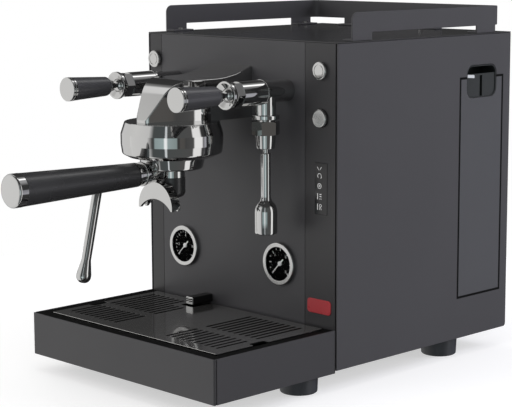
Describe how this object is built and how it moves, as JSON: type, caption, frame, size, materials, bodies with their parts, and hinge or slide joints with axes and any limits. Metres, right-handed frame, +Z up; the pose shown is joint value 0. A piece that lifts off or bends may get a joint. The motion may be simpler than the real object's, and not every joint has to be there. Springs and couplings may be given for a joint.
{
  "type": "espresso machine",
  "caption": "Box-shaped espresso machine with a locking filter handle under its brew group, steam and hot water levers and wands, gauges, drip tray, side-loading water tank and cup rail.",
  "frame": {"origin": "centre of the footprint, on the floor under the feet", "axes": "+Z up, -Y towards the user, +X to the right as the user faces the machine"},
  "size_m": [0.3, 0.59, 0.3995],
  "materials": {
    "casing_paint": "satin powder coat",
    "column_paint": "satin powder coat",
    "grate_paint": "satin",
    "chrome": "polished",
    "steel": "brushed",
    "black_grip": "soft matte",
    "black_plastic": "matte",
    "foot_rubber": "matte",
    "gasket_rubber": "matte",
    "display_glass": "gloss",
    "gauge_glass": "clear",
    "needle_paint": "white paint",
    "plate_paint": "satin enamel",
    "tank_plastic": "translucent",
    "brass": "plain",
    "pump_metal": "satin"
  },
  "bodies": {
    "machine": {"chassis_base": "casing_paint", "feet": "foot_rubber", "front_panel": "casing_paint", "left_front_column": "column_paint", "right_front_column": "column_paint", "left_side_cover": "casing_paint", "right_side_cover": "casing_paint", "rear_panel": "casing_paint", "top_plate": "casing_paint", "cup_rail": "casing_paint", "casing_screws": "steel", "panel_cap_screws": "chrome", "display_window": "display_glass", "blank_plate": "plate_paint", "power_inlet": "black_plastic", "group_neck": "chrome", "group_bell": "chrome", "group_gasket": "gasket_rubber", "shower_screen": "steel", "valve_cups": "chrome", "wand_nuts": "chrome", "steam_valve_body": "chrome", "water_valve_body": "chrome", "gauge_cases": "chrome", "gauge_dials": "black_plastic", "gauge_glasses": "gauge_glass", "drain_nozzle": "chrome", "tank_shelf": "steel", "brew_boiler": "brass", "steam_boiler": "steel", "boiler_pipes": "brass", "pump": "pump_metal", "control_box": "black_plastic", "solenoid_valve": "brass"},
    "left_needle": {"left_gauge_needle": "needle_paint"},
    "right_needle": {"right_gauge_needle": "needle_paint"},
    "steam_lever": {"steam_lever_shaft": "chrome", "steam_lever_grip": "black_grip", "steam_lever_cap": "chrome"},
    "water_lever": {"water_lever_shaft": "chrome", "water_lever_grip": "black_grip", "water_lever_cap": "chrome"},
    "steam_wand": {"steam_wand_tube": "chrome", "steam_wand_tip": "chrome"},
    "water_wand": {"water_wand_tube": "chrome", "water_outlet": "chrome"},
    "portafilter": {"portafilter_body": "chrome", "filter_basket": "steel", "portafilter_ferrule": "chrome", "portafilter_grip": "black_grip", "portafilter_cap": "chrome", "portafilter_spout": "chrome"},
    "tray": {"tray_shell": "casing_paint", "drip_pan": "black_plastic", "pan_rim": "black_plastic"},
    "grate": {"drip_grate": "grate_paint"},
    "tank": {"tank_door": "casing_paint", "tank_grip": "black_plastic", "water_tank": "tank_plastic"},
    "button": {"power_button": "chrome"}
  },
  "joints": [
    {"name": "steam_lever_tilt", "type": "hinge", "parent": "machine", "child": "steam_lever", "pos_m": [-0.1002, -0.081, 0.316], "axis": [1, 0, 0], "range_deg": [-15, 15]},
    {"name": "water_lever_tilt", "type": "hinge", "parent": "machine", "child": "water_lever", "pos_m": [0.0762, -0.081, 0.316], "axis": [1, 0, 0], "range_deg": [-15, 15]},
    {"name": "steam_wand_swing", "type": "hinge", "parent": "machine", "child": "steam_wand", "pos_m": [-0.1002, -0.029, 0.2609], "axis": [0, 0, 1], "range_deg": [-60, 5]},
    {"name": "water_wand_tilt", "type": "hinge", "parent": "machine", "child": "water_wand", "pos_m": [0.0762, -0.029, 0.2609], "axis": [1, 0, 0], "range_deg": [-15, 8]},
    {"name": "portafilter_turn", "type": "hinge", "parent": "machine", "child": "portafilter", "pos_m": [-0.012, -0.083, 0.26], "axis": [0, 0, 1], "range_deg": [-45, 0]},
    {"name": "left_needle_turn", "type": "hinge", "parent": "machine", "child": "left_needle", "pos_m": [-0.0893, 0.003, 0.1263], "axis": [0, 1, 0], "range_deg": [0, 270], "stiffness_Nm_per_rad": 0.001},
    {"name": "right_needle_turn", "type": "hinge", "parent": "machine", "child": "right_needle", "pos_m": [0.0653, 0.003, 0.1263], "axis": [0, 1, 0], "range_deg": [0, 270], "stiffness_Nm_per_rad": 0.001},
    {"name": "tray_slide", "type": "slide", "parent": "machine", "child": "tray", "axis": [0, -1, 0], "range_m": [0, 0.16]},
    {"name": "grate_lift", "type": "slide", "parent": "tray", "child": "grate", "axis": [0, 0, 1], "range_m": [0, 0.025]},
    {"name": "tank_slide", "type": "slide", "parent": "machine", "child": "tank", "axis": [1, 0, 0], "range_m": [0, 0.2]},
    {"name": "power_button_press", "type": "slide", "parent": "machine", "child": "button", "axis": [0, 1, 0], "range_m": [0, 0.002], "stiffness_N_per_m": 300}
  ]
}
